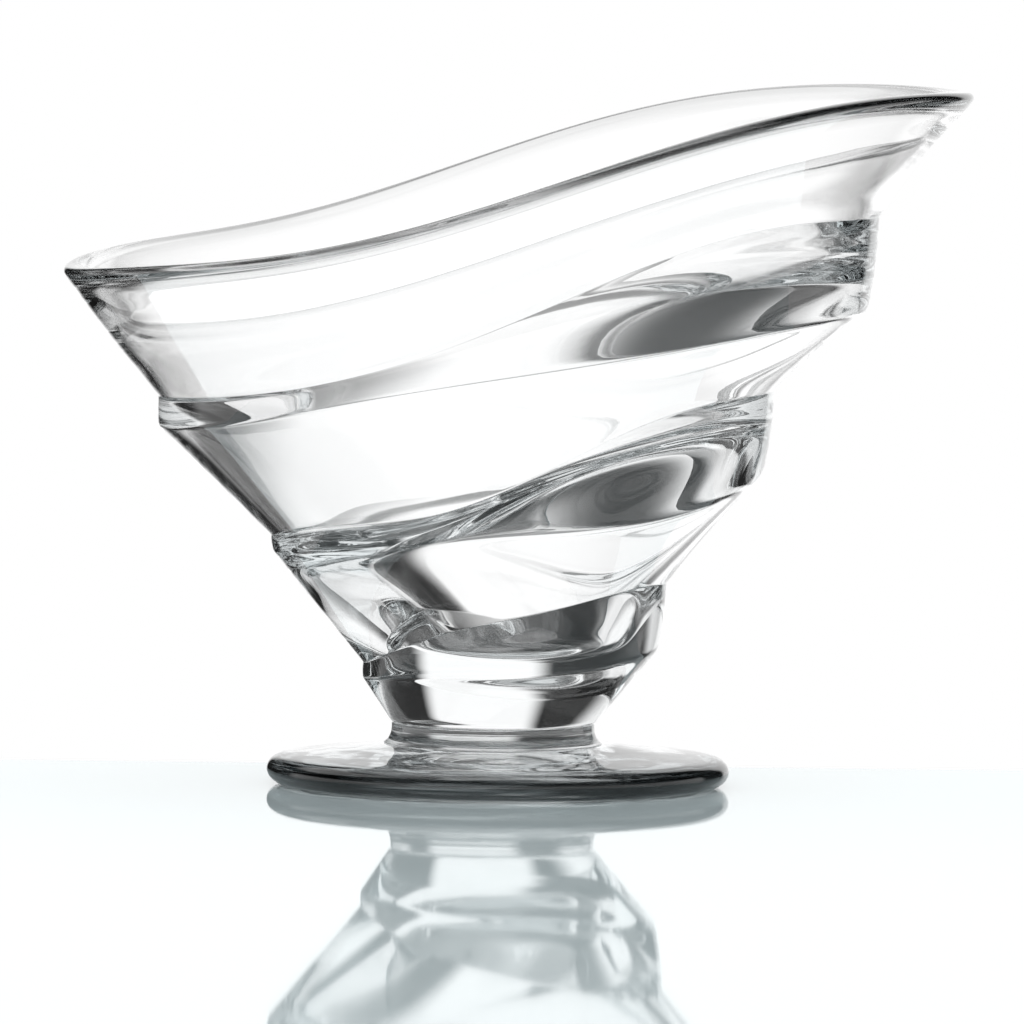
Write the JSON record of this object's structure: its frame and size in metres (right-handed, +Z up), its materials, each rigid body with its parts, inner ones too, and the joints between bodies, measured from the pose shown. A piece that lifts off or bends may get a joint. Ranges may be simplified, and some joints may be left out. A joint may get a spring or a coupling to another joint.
{
  "type": "footed dessert glass",
  "caption": "Low, wide footed dessert glass of clear pressed glass: a flared bowl of stacked tiers that sweep up to one side, joined by a short collar to a thick round foot.",
  "frame": {"origin": "centre of the foot's resting face, on the surface that the glass stands on", "axes": "+Z up, +X towards the high side of the swept rim, +Y away from a viewer who has the high side on the right"},
  "size_m": [0.141, 0.1408, 0.1094],
  "materials": {
    "bowl_glass": "polished, fire-finished, clear and colourless",
    "collar_glass": "polished, clear and colourless",
    "foot_glass": "clear and colourless with faint flow marks from pressing"
  },
  "bodies": {
    "root": {"bowl": "bowl_glass", "joining_collar": "collar_glass", "foot": "foot_glass"}
  },
  "joints": []
}
